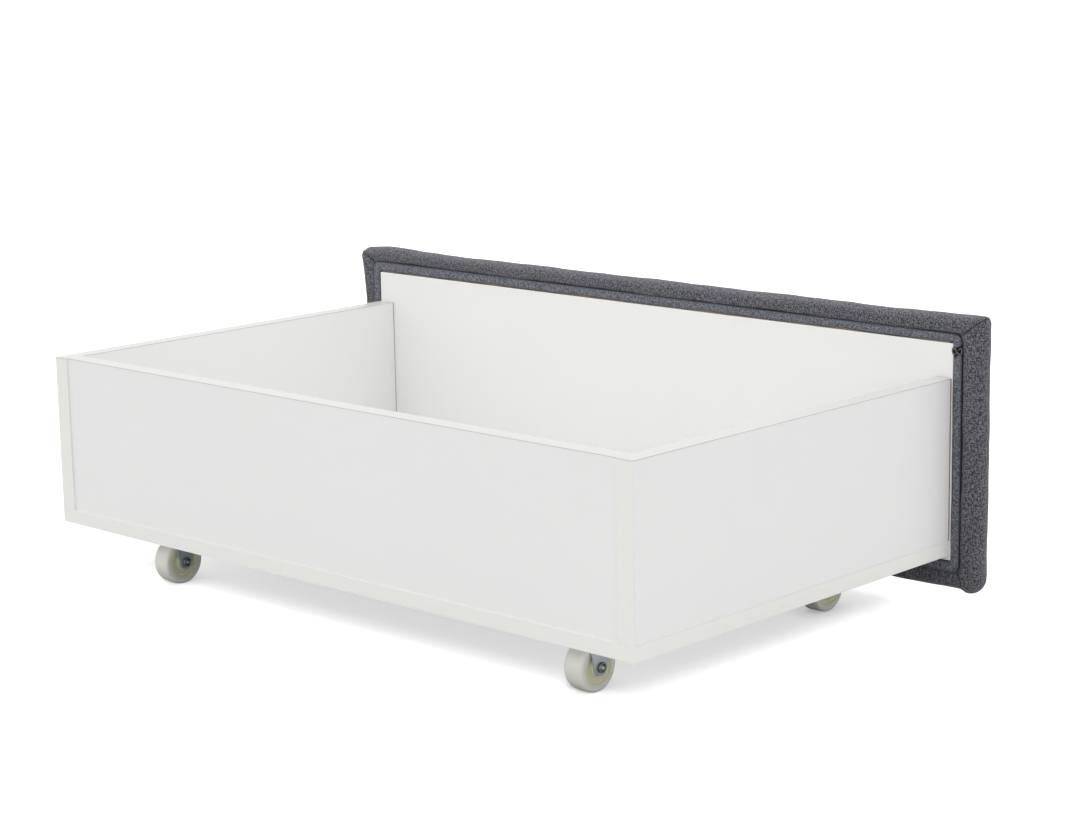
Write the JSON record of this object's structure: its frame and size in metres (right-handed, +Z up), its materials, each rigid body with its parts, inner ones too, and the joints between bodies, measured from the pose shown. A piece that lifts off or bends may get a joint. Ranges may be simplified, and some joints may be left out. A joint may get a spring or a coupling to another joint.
{
  "type": "under-bed storage drawer",
  "caption": "Open-topped rolling storage drawer for under a bed: white boards on fixed nylon casters, with a fabric-upholstered front.",
  "frame": {"origin": "on the floor, under the middle of the outside box of the whole drawer", "axes": "+X along the long side to the right of a person facing the upholstered front; +Y from the front to the rear, the way the wheels roll; +Z up"},
  "size_m": [0.868, 0.499, 0.301],
  "materials": {
    "white_board": "satin white melamine film on chipboard",
    "edge_strip": "white plastic edging, slightly warmer than the board faces",
    "white_hardboard": "white lacquered hardboard",
    "raw_chipboard": "raw chipboard",
    "foam": "open-cell foam",
    "wadding": "polyester wadding",
    "cover_fabric": "charcoal heather woven upholstery fabric",
    "welt_fabric": "the same fabric, lighter and bluer where it is folded",
    "black_plastic": "gloss black",
    "zinc_fittings": "zinc plated",
    "zinc_sheet": "blue-white zinc plated pressed steel",
    "rivet_steel": "plain steel, riveted",
    "nylon": "ivory translucent nylon",
    "beech": "beech dowel"
  },
  "bodies": {
    "drawer": {"bottom_panel": "white_board", "left_side_panel": "white_board", "right_side_panel": "white_board", "back_panel": "white_board", "bottom_rear_edging": "edge_strip", "bottom_left_edging": "edge_strip", "bottom_right_edging": "edge_strip", "left_side_top_edging": "edge_strip", "left_side_rear_edging": "edge_strip", "right_side_top_edging": "edge_strip", "right_side_rear_edging": "edge_strip", "back_top_edging": "edge_strip", "front_core": "raw_chipboard", "front_liner": "white_hardboard", "front_foam": "foam", "edge_wadding": "wadding", "front_cover": "cover_fabric", "cover_staples": "zinc_fittings", "welt_strip": "welt_fabric", "welt_end_loop": "black_plastic", "front_screws": "zinc_fittings", "bottom_screws": "zinc_fittings", "cam_locks": "zinc_fittings", "cam_bolts": "zinc_fittings", "back_dowels": "beech", "front_left_fork": "zinc_sheet", "front_left_axle": "rivet_steel", "front_right_fork": "zinc_sheet", "front_right_axle": "rivet_steel", "rear_left_fork": "zinc_sheet", "rear_left_axle": "rivet_steel", "rear_right_fork": "zinc_sheet", "rear_right_axle": "rivet_steel", "caster_screws": "zinc_fittings"},
    "front_left_wheel": {"front_left_wheel": "nylon"},
    "front_right_wheel": {"front_right_wheel": "nylon"},
    "rear_left_wheel": {"rear_left_wheel": "nylon"},
    "rear_right_wheel": {"rear_right_wheel": "nylon"}
  },
  "joints": [
    {"name": "front_left_wheel_spin", "type": "hinge", "parent": "drawer", "child": "front_left_wheel", "pos_m": [-0.287, -0.1625, 0.024], "axis": [1, 0, 0], "continuous": true},
    {"name": "front_right_wheel_spin", "type": "hinge", "parent": "drawer", "child": "front_right_wheel", "pos_m": [0.297, -0.1625, 0.024], "axis": [1, 0, 0], "continuous": true},
    {"name": "rear_left_wheel_spin", "type": "hinge", "parent": "drawer", "child": "rear_left_wheel", "pos_m": [-0.287, 0.1815, 0.024], "axis": [1, 0, 0], "continuous": true},
    {"name": "rear_right_wheel_spin", "type": "hinge", "parent": "drawer", "child": "rear_right_wheel", "pos_m": [0.297, 0.1815, 0.024], "axis": [1, 0, 0], "continuous": true}
  ]
}
